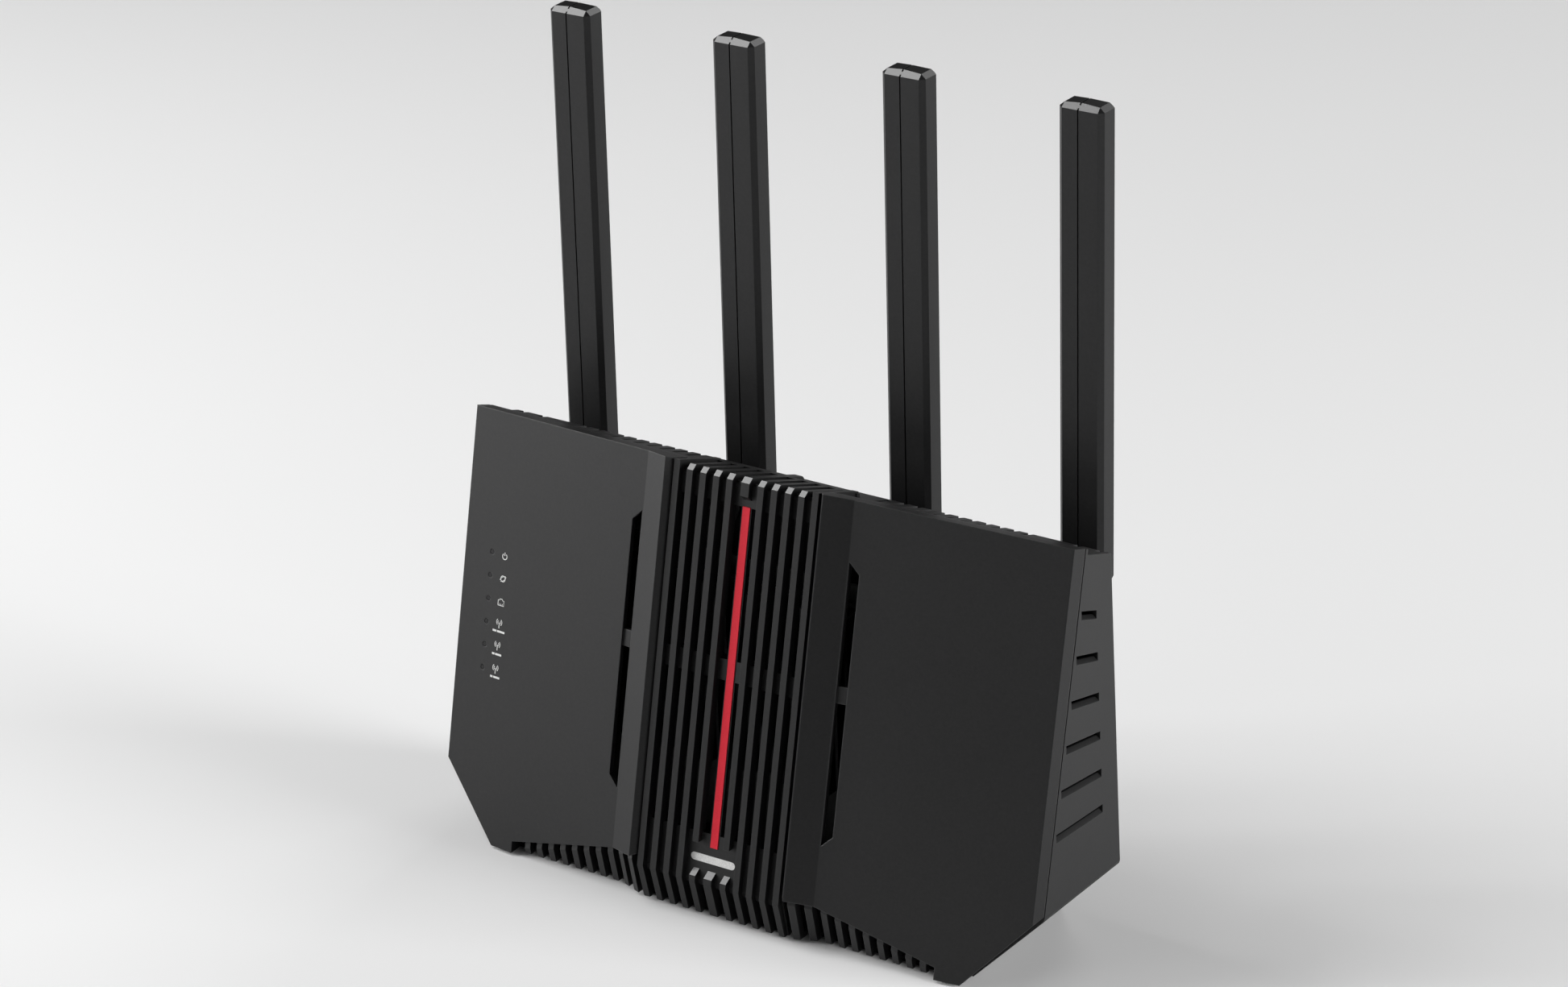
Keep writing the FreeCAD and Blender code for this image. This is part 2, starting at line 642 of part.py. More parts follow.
def top_slots():
    """Vents in the top face on the right side; the outer ones run over the rear edge."""
    first = FIRST_RIB_X + PITCH * 5.5
    slots = []
    for centre in rib_centres(first, FIRST_RIB_X + PITCH * 15.5):
        rear_y = TOP_SLOT_REAR_Y if centre == first else LIMIT
        slots.append(box(centre - TOP_SLOT_HALF, centre + TOP_SLOT_HALF, TOP_SLOT_FRONT_Y, rear_y, 148, 180))
    for centre in EDGE_NOTCH_X:
        slots.append(box(centre - TOP_SLOT_HALF, centre + TOP_SLOT_HALF, EDGE_NOTCH_FRONT_Y, LIMIT, 152, 180))
    return slots


def rear_slots():
    """Tall vents in the rear wall, on the right side."""
    slots = []
    for centre in rib_centres(PITCH * 0.5, PITCH * 13.5):
        low_x = centre - REAR_SLOT_HALF
        high_x = centre + REAR_SLOT_HALF
        slots.append(box(low_x, high_x, 60, 100, REAR_SLOT_LOW_Z, REAR_SLOT_HIGH_Z))
    return slots


def centre_bar():
    """The low bar on the top that carries the centre rib's line on towards the rear edge."""
    front = RIB_END_Y + 0.3
    rear = CENTRE_BAR_END_Y
    foot = REAR_TOP_DROP + 1
    points = [(front, top_height(front, foot)), (front, top_height(front, RIB_TOP_DROP))]
    points += [(rear - 1, top_height(rear - 1, RIB_TOP_DROP)), (rear, top_height(rear, RIB_TOP_DROP + 0.8))]
    points += [(rear, top_height(rear, foot))]
    return prism_yz(points, -CENTRE_HALF, CENTRE_HALF)


def grille_clearance():
    """The room that the centre grille needs in the top and at the front of the bottom."""
    over = box(-CHANNEL_X, CHANNEL_X, 0, RIB_END_Y + 0.2, 140, 200)
    low = box(-CHANNEL_X - 0.3, CHANNEL_X + 0.3, 0, TIP_Y + TOOTH_DEPTH + 0.2, -1, BEND_Z)
    return [over, low]


def hinge_boss(x):
    """The round boss that an antenna's swivel turns in."""
    return rod_y(x, PIN_Z, BOSS_RADIUS, BOSS_FRONT_Y, BOSS_REAR_Y)


def rear_columns():
    """Columns for the shell screws on the right, and the stepped holes in them."""
    columns = []
    holes = []
    for x, z, joint_y in SHELL_SCREWS:
        columns.append(rod_y(x, z, POST_RADIUS, joint_y, rear_wall_y(z) - 0.5))
        holes.append(rod_y(x, z, SCREW_RADIUS + 0.2, joint_y - 1, 100))
        holes.append(rod_y(x, z, SCREW_HEAD + 0.2, joint_y + 3, 100))
    return columns, holes


def port_cuts():
    """The recess for the ports and every hole through its floor."""
    x0, x1 = PORT_STRIP_X
    z0, z1 = PORT_STRIP_Z
    cuts = [box(x0, x1, PORT_Y, 100, z0, z1)]
    half_w = JACK_WIDTH / 2 + PORT_CLEARANCE
    half_h = JACK_HEIGHT / 2 + PORT_CLEARANCE
    for x in LAN_X + (WAN_X,):
        cuts.append(box(x - half_w, x + half_w, 70, 100, PORT_Z - half_h, PORT_Z + half_h))
    cuts.append(box(USB_X - 7.5, USB_X + 7.5, 70, 100, PORT_Z - 3.9, PORT_Z + 3.9))
    cuts.append(box(DC_X - 4.8, DC_X + 4.8, 70, 100, PORT_Z - 5.8, PORT_Z + 5.8))
    cuts.append(rod_y(POWER_X, PORT_Z, 4.8, 70, 100))
    cuts.append(rod_y(WPS_X, PORT_Z, 3.8, 70, 100))
    cuts.append(rod_y(RESET_X, PORT_Z, 1.2, 70, 100))
    return cuts


def board_bosses():
    """Bosses on the rear wall that the board is screwed to."""
    return [rod_y(x, z, 3.4, BOARD_Y + BOARD, rear_wall_y(z) - 0.5) for x, z in BOARD_SCREWS]


def rear_housing():
    """The rear shell: sides, top, rear wall and bottom in one moulding."""
    shell = rear_block(0, SEAM_GAP).cut(rear_block(SKIN, -LIMIT / 8))
    columns, holes = rear_columns()
    port_block = box(PORT_STRIP_X[0] - 2, PORT_STRIP_X[1] + 2, PORT_WALL_Y, 83.6, 7, 38)
    solids = [shell, rear_lip(), base_plate(), centre_bar(), port_block]
    solids += pair(skirt_half())
    for x in antenna_places():
        solids.append(hinge_boss(x))
    for column in columns:
        solids += pair(column)
    solids += board_bosses()
    body = joined(solids)
    cuts = port_cuts()
    louvres = [louvre(i) for i in range(LOUVRES)]
    for shape in top_slots() + rear_slots() + skirt_gaps() + base_grooves() + holes + louvres:
        cuts += pair(shape)
    cuts += grille_clearance()
    for x in antenna_places():
        cuts.append(rod_y(x, PIN_Z, BORE_RADIUS, 60, 100))
    for x, z in BOARD_SCREWS:
        cuts.append(rod_y(x, z, 1.28, 50, 70))
    for x, y in FEET:
        cuts.append(rod_z(x, y, FOOT_RADIUS + 0.05, -1, FOOT_INSET))
    return body.cut(Part.makeCompound(cuts)).removeSplitter()


# ---------------------------------------------------------------- antennas

def antenna_places():
    """Where the four antennas stand along x."""
    return [ANTENNA_PITCH * (i - 1.5) for i in range(4)]


def half_section(x, side, inset):
    """Plan of one half of an antenna, from the seam outwards, inset by a wall."""
    seam = x + SEAM_X
    outer = x + side * (ANTENNA_WIDTH / 2 - inset)
    corner = outer - side * ANTENNA_EDGE
    front = ANTENNA_FRONT_Y + inset
    back = ANTENNA_FRONT_Y + ANTENNA_DEPTH - inset
    points = [(seam, front), (corner, front), (outer, front + ANTENNA_EDGE)]
    points += [(outer, back - ANTENNA_EDGE), (corner, back), (seam, back)]
    return points


def antenna_crown(x, side, shoulder):
    """The top of one half: sloping borders, a triangle at each corner, and a top that rises to the seam."""
    low = [V(px, py, shoulder) for px, py in half_section(x, side, 0)]
    rise = 1 + ANTENNA_RIDGE / ANTENNA_CROWN
    outer = x + side * (ANTENNA_WIDTH / 2 - ANTENNA_CROWN_INSET)
    front = ANTENNA_FRONT_Y
    back = ANTENNA_FRONT_Y + ANTENNA_DEPTH
    ridge_z = ANTENNA_TOP_Z + ANTENNA_RIDGE
    front_ridge = V(x + SEAM_X, front + ANTENNA_CROWN_INSET * rise, ridge_z)
    back_ridge = V(x + SEAM_X, back - ANTENNA_CROWN_INSET * rise, ridge_z)
    front_corner = V(outer, front + ANTENNA_CROWN_INSET, ANTENNA_TOP_Z)
    back_corner = V(outer, back - ANTENNA_CROWN_INSET, ANTENNA_TOP_Z)
    outlines = [
        [low[0], low[1], front_corner, front_ridge],
        [low[1], low[2], front_corner],
        [low[2], low[3], back_corner, front_corner],
        [low[3], low[4], back_corner],
        [low[4], low[5], back_ridge, back_corner],
        [front_ridge, front_corner, back_corner, back_ridge],
        [low[0], front_ridge, back_ridge, low[5]],
        low,
    ]
    faces = [Part.Face(Part.makePolygon(points + [points[0]])) for points in outlines]
    return Part.Solid(Part.Shell(faces))


def seam_groove(x):
    """Space of the groove that runs round an antenna along its seam."""
    half = SEAM_GROOVE / 2
    deep = SEAM_GROOVE_DEPTH
    seam = x + SEAM_X
    front = ANTENNA_FRONT_Y
    back = ANTENNA_FRONT_Y + ANTENNA_DEPTH
    low = PIN_Z - ANTENNA_DEPTH
    high = ANTENNA_TOP_Z + ANTENNA_RIDGE
    groove = [
        box(seam - half, seam + half, front - 1, front + deep, low, high + 1),
        box(seam - half, seam + half, back - deep, back + 1, low, high + 1),
        box(seam - half, seam + half, front - 1, back + 1, high - deep, high + 1),
    ]
    return Part.makeCompound(groove)


def antenna_shell(x, side):
    """One half of an antenna's case, split along its broad faces."""
    shoulder = ANTENNA_TOP_Z - ANTENNA_CROWN
    body = prism_xy(half_section(x, side, 0), PIN_Z - ANTENNA_DEPTH / 2, shoulder)
    keep = box(x - 20, x + 20, 80, 120, PIN_Z, LIMIT)
    keep = keep.fuse(rod_x(PIN_Y, PIN_Z, ANTENNA_DEPTH / 2, x - 20, x + 20))
    case = joined([body.common(keep), antenna_crown(x, side, shoulder)])
    hollow = prism_xy(half_section(x, side, ANTENNA_WALL), FLOOR_Z, shoulder - ANTENNA_WALL)
    gap = TONGUE_HALF + TONGUE_GAP
    slot = box(x - gap, x + gap, 80, 120, PIN_Z - 10, PIN_Z + ANTENNA_DEPTH / 2 + 0.4)
    pin_hole = rod_x(PIN_Y, PIN_Z, PIN_RADIUS + 0.02, x - PIN_HALF - 0.1, x + PIN_HALF + 0.1)
    case = case.cut(Part.makeCompound([hollow, slot, pin_hole]))
    return case.cut(seam_groove(x))


def antenna_swivel(x):
    """The round barrel that turns in the rear wall, with the tongue that the antenna folds on."""
    barrel_end = ANTENNA_FRONT_Y - 0.5
    barrel = rod_y(x, PIN_Z, BARREL_RADIUS, BOSS_REAR_Y + 0.3, barrel_end)
    neck = rod_y(x, PIN_Z, NECK_RADIUS, CLIP_Y - 0.8, BOSS_REAR_Y + 1)
    height = TONGUE_RADIUS
    tongue = box(x - TONGUE_HALF, x + TONGUE_HALF, barrel_end - 1, PIN_Y, PIN_Z - height, PIN_Z + height)
    nose = rod_x(PIN_Y, PIN_Z, TONGUE_RADIUS, x - TONGUE_HALF, x + TONGUE_HALF)
    groove = rod_y(x, PIN_Z, 10, CLIP_Y, CLIP_Y + CLIP_THICKNESS)
    groove = groove.cut(rod_y(x, PIN_Z, NECK_RADIUS - 0.6, CLIP_Y - 1, CLIP_Y + 2))
    pin_hole = rod_x(PIN_Y, PIN_Z, PIN_RADIUS + 0.05, x - 10, x + 10)
    cable_bore = rod_y(x, PIN_Z, CABLE_BORE, 60, barrel_end + 0.5)
    return joined([barrel, neck, tongue, nose]).cut(Part.makeCompound([groove, pin_hole, cable_bore]))


def swivel_clip(x):
    """The spring clip that keeps the barrel in the wall."""
    low = CLIP_Y + 0.03
    high = CLIP_Y + CLIP_THICKNESS - 0.03
    ring = rod_y(x, PIN_Z, NECK_RADIUS + 2, low, high)
    ring = ring.cut(rod_y(x, PIN_Z, NECK_RADIUS - 0.57, low - 1, high + 1))
    return ring.cut(box(x - 3, x + 3, low - 1, high + 1, PIN_Z - 12, PIN_Z))


def hinge_pin(x):
    """The steel pin through the antenna's ears and the tongue."""
    return rod_x(PIN_Y, PIN_Z, PIN_RADIUS, x - PIN_HALF, x + PIN_HALF)


def antenna_board(x):
    """The printed antenna inside the case."""
    return box(x - 5, x + 5, PIN_Y - 0.4, PIN_Y + 0.4, FLOOR_Z, ANTENNA_TOP_Z - 18)


# ---------------------------------------------------------------- board and ports

def main_board():
    """The upright circuit board."""
    board = box(-BOARD_HALF_X, BOARD_HALF_X, BOARD_Y, BOARD_Y + BOARD, BOARD_LOW_Z, BOARD_HIGH_Z)
    holes = [rod_y(x, z, 1.5, 50, 70) for x, z in BOARD_SCREWS]
    return board.cut(Part.makeCompound(holes))


def network_jack(x):
    """One shielded network socket, with the notch for the plug's latch at the bottom."""
    face = PORT_Y + JACK_PROUD
    half_w = JACK_WIDTH / 2
    half_h = JACK_HEIGHT / 2
    body = box(x - half_w, x + half_w, BOARD_Y + BOARD, face, PORT_Z - half_h, PORT_Z + half_h)
    mouth = box(x - 5.95, x + 5.95, face - 14, face + 1, PORT_Z - 2.7, PORT_Z + 5.5)
    latch = box(x - 3.2, x + 3.2, face - 14, face + 1, PORT_Z - 4.5, PORT_Z)
    tab = box(x - 1.7, x + 1.7, face - 14, face + 1, PORT_Z - 6.0, PORT_Z)
    return body.cut(joined([mouth, latch, tab]))


def jack_contacts():
    """The gold wires along the top of every network socket."""
    wires = []
    for x in LAN_X + (WAN_X,):
        for i in range(8):
            wire_x = x + 1.02 * (i - 3.5)
            wires.append(box(wire_x - 0.2, wire_x + 0.2, PORT_Y - 13.7, PORT_Y - 3, PORT_Z + 4.8, PORT_Z + 5.2))
    return wires


def usb_port():
    """The metal shell of the USB socket."""
    face = PORT_Y + JACK_PROUD
    body = box(USB_X - 7.2, USB_X + 7.2, BOARD_Y + BOARD, face, PORT_Z - 3.6, PORT_Z + 3.6)
    mouth = box(USB_X - 6.3, USB_X + 6.3, face - 12, face + 1, PORT_Z - 2.6, PORT_Z + 2.6)
    return body.cut(mouth)


def usb_tongue():
    """The insulating tongue inside the USB socket."""
    face = PORT_Y + JACK_PROUD
    return box(USB_X - 5.4, USB_X + 5.4, face - 12, face - 1.2, PORT_Z + 0.2, PORT_Z + 2.1)


def dc_jack():
    """The power inlet's body."""
    face = PORT_Y + JACK_PROUD
    body = box(DC_X - 4.5, DC_X + 4.5, BOARD_Y + BOARD, face, PORT_Z - 5.5, PORT_Z + 5.5)
    return body.cut(rod_y(DC_X, PORT_Z, 3.0, face - 10, face + 1))


def dc_jack_pin():
    """The contact pin in the middle of the power inlet."""
    face = PORT_Y + JACK_PROUD
    return rod_y(DC_X, PORT_Z, 1.0, face - 10, face - 0.8)


def push_button(x, radius, proud, stem_end):
    """A round button with a flange behind the wall and a stem towards its switch."""
    cap = rod_y(x, PORT_Z, radius, PORT_WALL_Y - 1.4, PORT_Y + proud)
    flange = rod_y(x, PORT_Z, radius + 1.3, PORT_WALL_Y - 1.4, PORT_WALL_Y - 0.3)
    stem = rod_y(x, PORT_Z, 1.6, stem_end, PORT_WALL_Y - 1)
    return joined([cap, flange, stem])


def reset_plunger():
    """The recessed reset pin behind its small hole."""
    pin = rod_y(RESET_X, PORT_Z, 0.9, 67.9, PORT_Y - 0.6)
    flange = rod_y(RESET_X, PORT_Z, 2.6, PORT_WALL_Y - 1.3, PORT_WALL_Y - 0.3)
    return joined([pin, flange])


def power_switch():
    """The latching switch behind the power button."""
    return box(POWER_X - 4, POWER_X + 4, BOARD_Y + BOARD, 67.5, PORT_Z - 4, PORT_Z + 4)


def touch_switches():
    """The two small switches behind the reset pin and the pairing button."""
    face = BOARD_Y + BOARD
    return [box(x - 3, x + 3, face, 66.6, PORT_Z - 3, PORT_Z + 3) for x in (RESET_X, WPS_X)]


def finned_sink(half_x, z0, z1, base_y0, base_y1, fin_y0, fin_y1):
    """A heat sink: a plate with upright fins on one side."""
    plate = box(-half_x, half_x, base_y0, base_y1, z0, z1)
    fins = []
    count = int(2 * half_x / 5.0)
    for i in range(count + 1):
        x = -half_x + 0.6 + (2 * half_x - 1.2) * i / count
        fins.append(box(x - 0.6, x + 0.6, fin_y0, fin_y1, z0, z1))
    return joined([plate] + fins)


def shield_cans():
    """Metal covers over the radio and processor circuits, on both faces of the board."""
    front = [(-66, -26, 50, 112), (-20, 20, 56, 112), (26, 66, 50, 112)]
    rear = [(-58, -12, 50, 108), (12, 58, 50, 108)]
    cans = [box(x0, x1, BOARD_Y - 2.5, BOARD_Y, z0, z1) for x0, x1, z0, z1 in front]
    face = BOARD_Y + BOARD
    cans += [box(x0, x1, face, face + 2.4, z0, z1) for x0, x1, z0, z1 in rear]
    return cans


def thermal_pads():
    """Soft pads that carry heat from the covers to the heat sinks."""
    front = [(-60, -32, 60, 100), (-14, 14, 64, 104), (32, 60, 60, 100)]
    rear = [(-50, -20, 60, 98), (20, 50, 60, 98)]
    pads = [box(x0, x1, BOARD_Y - 3.0, BOARD_Y - 2.5, z0, z1) for x0, x1, z0, z1 in front]
    face = BOARD_Y + BOARD + 2.4
    pads += [box(x0, x1, face, face + 0.5, z0, z1) for x0, x1, z0, z1 in rear]
    return pads


def lead_start(x):
    """Where an antenna lead meets the board."""
    return max(-LEAD_REACH, min(LEAD_REACH, x))


def antenna_leads():
    """The thin cables from the board into the swivels."""
    leads = []
    for x in antenna_places():
        start = lead_start(x)
        z = BOARD_HIGH_Z - 5
        points = [V(start, BOARD_Y + BOARD + 1.0, z), V(start, 66, z), V(x, 68.5, PIN_Z)]
        points.append(V(x, ANTENNA_FRONT_Y - 4, PIN_Z))
        leads.append(tube(points, 0.7, 3.0))
    return leads


def lead_plugs():
    """The small round plugs that join the leads to the board."""
    face = BOARD_Y + BOARD
    z = BOARD_HIGH_Z - 5
    return [rod_y(lead_start(x), z, 1.4, face, face + 1.0) for x in antenna_places()]


# ---------------------------------------------------------------- lights, screws, feet

def led_heights():
    """Heights of the indicator lights."""
    return [LED_TOP_Z - LED_PITCH * i for i in range(LEDS)]


def light_pipes():
    """One clear moulding: a bar with a post to each hole in the left panel."""
    bar_back = PIPE_BAR_Y + 1.9
    low = led_heights()[-1] - 3.5
    pieces = [box(LED_X - 2, LED_X + 2, PIPE_BAR_Y, bar_back, low, LED_TOP_Z + 3.5)]
    for z in led_heights():
        pieces.append(rod_y(LED_X, z, LED_RADIUS, panel_y(LED_X, z) - 3, PIPE_BAR_Y + 0.5))
    setback = 0.05
    plan = [(-150, SWEEP * 150 + setback), (-80, SWEEP * 80 + setback), (-80, 100), (-150, 100)]
    return joined(pieces).common(leaning(plan, 50, 130))


def status_leds():
    """The light chips on their small board."""
    back = PIPE_BAR_Y + 1.9
    return [box(LED_X - 0.8, LED_X + 0.8, back, back + 1, z - 0.8, z + 0.8) for z in led_heights()]


def led_board():
    """The small board behind the left panel."""
    front = PIPE_BAR_Y + 2.9
    return box(LED_X - 6.5, LED_X + 6.5, front, front + 1.2, 60, 120)


def led_ribbon():
    """The flat cable from the light board to the main board."""
    start = PIPE_BAR_Y + 4.1
    points = [(-116, start), (-115.7, start), (-115.7, 55.7), (-98, 55.7), (-98, BOARD_Y)]
    points += [(-98.3, BOARD_Y), (-98.3, 56), (-116, 56)]
    return prism_xy(points, 86, 94)


def shell_screw(x, z, joint_y):
    """A screw that joins the shells from the rear."""
    seat = joint_y + 3
    head = rod_y(x, z, SCREW_HEAD, seat, seat + 2)
    return joined([head, rod_y(x, z, SCREW_RADIUS, joint_y - 9, seat + 0.5)])


def board_screw(x, z):
    """A short screw that holds the board."""
    head = rod_y(x, z, 2.6, BOARD_Y - 1.8, BOARD_Y)
    return joined([head, rod_y(x, z, 1.25, BOARD_Y - 1, BOARD_Y + BOARD + 6)])


def rubber_feet():
    """The four pads that the router stands on."""
    return [rod_z(x, y, FOOT_RADIUS, -FOOT_PROUD, FOOT_INSET) for x, y in FEET]


def rating_label():
    """The blank label under the base."""
    return box(-30, 30, 36, 66, -0.12, 0)


# ---------------------------------------------------------------- saving

def save(name, solids):
    """Writes one node, moved to the part's own frame."""
    shape = Part.makeCompound(solids) if len(solids) > 1 else solids[0]
    shape = shape.copy()
    shape.translate(-ORIGIN)
    shape.exportStep(f"parts/{name}.step")
    print(name, "valid" if shape.isValid() else "INVALID", len(shape.Solids), round(shape.Volume))


def save_antenna(number, x):
    """Writes the pieces of one antenna."""
    prefix = f"antenna_{number}"
    save(f"{prefix}_left_shell", [antenna_shell(x, -1)])
    save(f"{prefix}_right_shell", [antenna_shell(x, 1)])
    save(f"{prefix}_board", [antenna_board(x)])
    save(f"{prefix}_pin", [hinge_pin(x)])
    save(f"{prefix}_swivel", [antenna_swivel(x)])
    save(f"{prefix}_clip", [swivel_clip(x)])


def main():
    os.makedirs("parts", exist_ok=True)
    save("front_shell", [front_shell()])
    save("centre_grille", [centre_grille()])
    save("accent_strip", [accent_strip()])
    save("rear_housing", [rear_housing()])
    for number, x in enumerate(antenna_places(), 1):
        save_antenna(number, x)
    save("main_board", [main_board()])
    save("wan_jack", [network_jack(WAN_X)])
    save("lan_jacks", [network_jack(x) for x in LAN_X])
    save("jack_contacts", jack_contacts())
    save("usb_port", [usb_port()])
    save("usb_tongue", [usb_tongue()])
    save("dc_jack", [dc_jack()])
    save("dc_jack_pin", [dc_jack_pin()])
    save("power_button", [push_button(POWER_X, 4.5, 2.5, 70.0)])
    save("pairing_button", [push_button(WPS_X, 3.5, 1.6, 67.9)])
    save("reset_plunger", [reset_plunger()])
    save("power_switch", [power_switch()])
    save("touch_switches", touch_switches())
    save("front_heat_sink", [finned_sink(70, 44, 120, BOARD_Y - 5.5, BOARD_Y - 3, 44, BOARD_Y - 5.5)])
    save("rear_heat_sink", [finned_sink(62, 46, 118, 64.5, 66.5, 66.5, 73)])
    save("shield_cans", shield_cans())
    save("thermal_pads", thermal_pads())
    save("antenna_leads", antenna_leads())
    save("lead_plugs", lead_plugs())
    save("light_pipes", [light_pipes()])
    save("status_leds", status_leds())
    save("led_board", [led_board()])
    save("led_ribbon", [led_ribbon()])
    save("shell_screws", [shell_screw(side * x, z, y) for x, z, y in SHELL_SCREWS for side in (-1, 1)])
    save("board_screws", [board_screw(x, z) for x, z in BOARD_SCREWS])
    save("rubber_feet", rubber_feet())
    save("rating_label", [rating_label()])


main()
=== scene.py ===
"""Looks of the wireless router: moulded plastics, metals, printed marks, camera and studio light."""
import math

import bmesh
import bpy
from mathutils import Matrix, Vector


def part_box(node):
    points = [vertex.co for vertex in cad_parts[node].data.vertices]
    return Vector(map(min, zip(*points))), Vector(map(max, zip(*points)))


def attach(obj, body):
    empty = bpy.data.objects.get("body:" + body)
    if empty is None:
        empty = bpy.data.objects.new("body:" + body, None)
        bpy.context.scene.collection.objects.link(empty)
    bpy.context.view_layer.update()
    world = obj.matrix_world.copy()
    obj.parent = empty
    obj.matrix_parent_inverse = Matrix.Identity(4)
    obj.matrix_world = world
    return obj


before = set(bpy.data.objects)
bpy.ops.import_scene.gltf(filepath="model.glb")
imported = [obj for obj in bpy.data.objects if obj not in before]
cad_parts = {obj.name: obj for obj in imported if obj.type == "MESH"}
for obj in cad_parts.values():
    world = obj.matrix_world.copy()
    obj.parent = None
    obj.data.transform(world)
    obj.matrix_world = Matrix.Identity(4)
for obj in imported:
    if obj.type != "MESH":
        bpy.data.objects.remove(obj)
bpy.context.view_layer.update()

MM = 0.001

# The front: planes that lean back with height, and panels that also sweep back to each side (mm).
LEAN = 0.218
SWEEP = 0.116
PANEL_Y = -53.86                # where the two panels' planes meet, at floor level
PLATE_Y = -48.66                # the plate behind the ribs, at floor level

# Printed marks on the front (mm).
INK_THICKNESS = 0.03
MARK_X = -113.3
BAND_BAR_ROWS = (84.6, 75.6, 66.6)
BAND_BAR_WIDTHS = ((2.0, 3.9), (1.3, 3.2), (1.3, 3.2))
BAND_BAR_HEIGHT = 0.8
BAND_BAR_GAP = 0.35
PLATE_BAR_Z = 24.7
PLATE_BAR_WIDTH = 20.0
PLATE_BAR_HEIGHT = 3.0

# Printed signs on the rear (mm).
SIGN_DEPTH = 0.3                # the rear plate lies this far in front of the sockets' faces
SIGN_RISE = 4.6                 # above the sockets' tops
FIRST_SOCKET = 8.0              # from the sockets' outer side to the first one's middle
SOCKET_PITCH = 16.6

# The camera.
TARGET = Vector((8.353, -1.566, 162.147)) * MM
DISTANCE = 1827.313 * MM
YAW = math.radians(34.419)
ELEVATION = math.radians(23.479)
ROLL = math.radians(1.513)
LENS = 112.84
SENSOR_WIDTH = 36.0
CLIP_END = 50.0

# The lamps: name, angle round from the front, angle up, side of the square, power.
LAMPS = (
    ("left_box", -65, 14, 1.0, 40.0),
    ("high_left_box", -72, 56, 0.8, 18.0),
    ("front_left_box", -35, 14, 1.0, 6.7),
    ("right_box", 100, 14, 1.0, 50.0),
    ("back_box", 178, 34, 1.0, 8.0),
)
LAMP_DISTANCE = 2.2
LAMP_AIM = Vector((0.0, 0.0, 0.15))
WORLD = 0.06
FLOOR_REACH = 12.0

# Sockets of Blender's Mix node when it mixes colours.
MIX_FACTOR = 0
MIX_FIRST = 6
MIX_SECOND = 7
MIX_RESULT = 2

# How edges and surfaces are finished.
BEVEL_SAMPLES = 6
EDGE_COSINE = 0.8               # an edge counts fully where the rounded normal has turned this far
PIT_DEPTH = 0.0275 * MM
PLATED_EDGE = 0.15 * MM
STRIP_EDGE = 0.3 * MM
RUBBER_EDGE = 0.4 * MM
PRINT_RELIEF = 0.01 * MM


# ---------------------------------------------------------------- node helpers

def new_material(name):
    """A material, its node tree, its shader and the object's own coordinates."""
    material = bpy.data.materials.new("look_" + name)
    material.use_nodes = True
    tree = material.node_tree
    tree.nodes.clear()
    shader = tree.nodes.new("ShaderNodeBsdfPrincipled")
    output = tree.nodes.new("ShaderNodeOutputMaterial")
    tree.links.new(shader.outputs["BSDF"], output.inputs["Surface"])
    coordinates = tree.nodes.new("ShaderNodeTexCoord")
    return material, tree, shader, coordinates.outputs["Object"]


def feed(tree, socket, value):
    """Links a socket to value where that is a socket too, and sets it otherwise."""
    if isinstance(value, bpy.types.NodeSocket):
        tree.links.new(value, socket)
    else:
        socket.default_value = value


def add(tree, kind, **values):
    """A node with its inputs linked or set by name, and its other settings set."""
    node = tree.nodes.new(kind)
    for key, value in values.items():
        if key in node.inputs:
            feed(tree, node.inputs[key], value)
        else:
            setattr(node, key, value)
    return node


def noise(tree, place, scale, detail=2.0, roughness=0.5):
    node = add(tree, "ShaderNodeTexNoise", Vector=place, Scale=scale, Detail=detail, Roughness=roughness)
    return node.outputs["Fac"]


def remap(tree, value, low, high, to_low=0.0, to_high=1.0):
    """The value stretched from low..high to to_low..to_high, and held at its ends."""
    node = add(tree, "ShaderNodeMapRange", Value=value)
    for key, limit in (("From Min", low), ("From Max", high), ("To Min", to_low), ("To Max", to_high)):
        node.inputs[key].default_value = limit
    return node.outputs["Result"]


def calc(tree, operation, first, second):
    node = add(tree, "ShaderNodeMath", operation=operation)
    feed(tree, node.inputs[0], first)
    feed(tree, node.inputs[1], second)
    return node.outputs[0]


def weighted(tree, first, first_share, second, second_share):
    return calc(tree, "ADD", calc(tree, "MULTIPLY", first, first_share),
                calc(tree, "MULTIPLY", second, second_share))


def blend_colours(tree, factor, first, second):
    """From the first colour to the second as factor goes from 0 to 1."""
    node = add(tree, "ShaderNodeMix", data_type="RGBA")
    feed(tree, node.inputs[MIX_FACTOR], factor)
    for index, colour in ((MIX_FIRST, first), (MIX_SECOND, second)):
        feed(tree, node.inputs[index], (*colour, 1.0) if isinstance(colour, tuple) else colour)
    return node.outputs[MIX_RESULT]


def bump(tree, height, distance, normal=None):
    node = add(tree, "ShaderNodeBump", Strength=1.0, Distance=distance, Height=height)
    if normal is not None:
        tree.links.new(normal, node.inputs["Normal"])
    return node.outputs["Normal"]


def rounded_edges(tree, radius):
    """A normal that rounds the edges, and a mask that is high along them."""
    rounded = add(tree, "ShaderNodeBevel", samples=BEVEL_SAMPLES, Radius=radius).outputs["Normal"]
    flat = add(tree, "ShaderNodeNewGeometry").outputs["Normal"]
    dot = add(tree, "ShaderNodeVectorMath", operation="DOT_PRODUCT")
    tree.links.new(rounded, dot.inputs[0])
    tree.links.new(flat, dot.inputs[1])
    return rounded, remap(tree, dot.outputs["Value"], 1.0, EDGE_COSINE)


# ---------------------------------------------------------------- materials

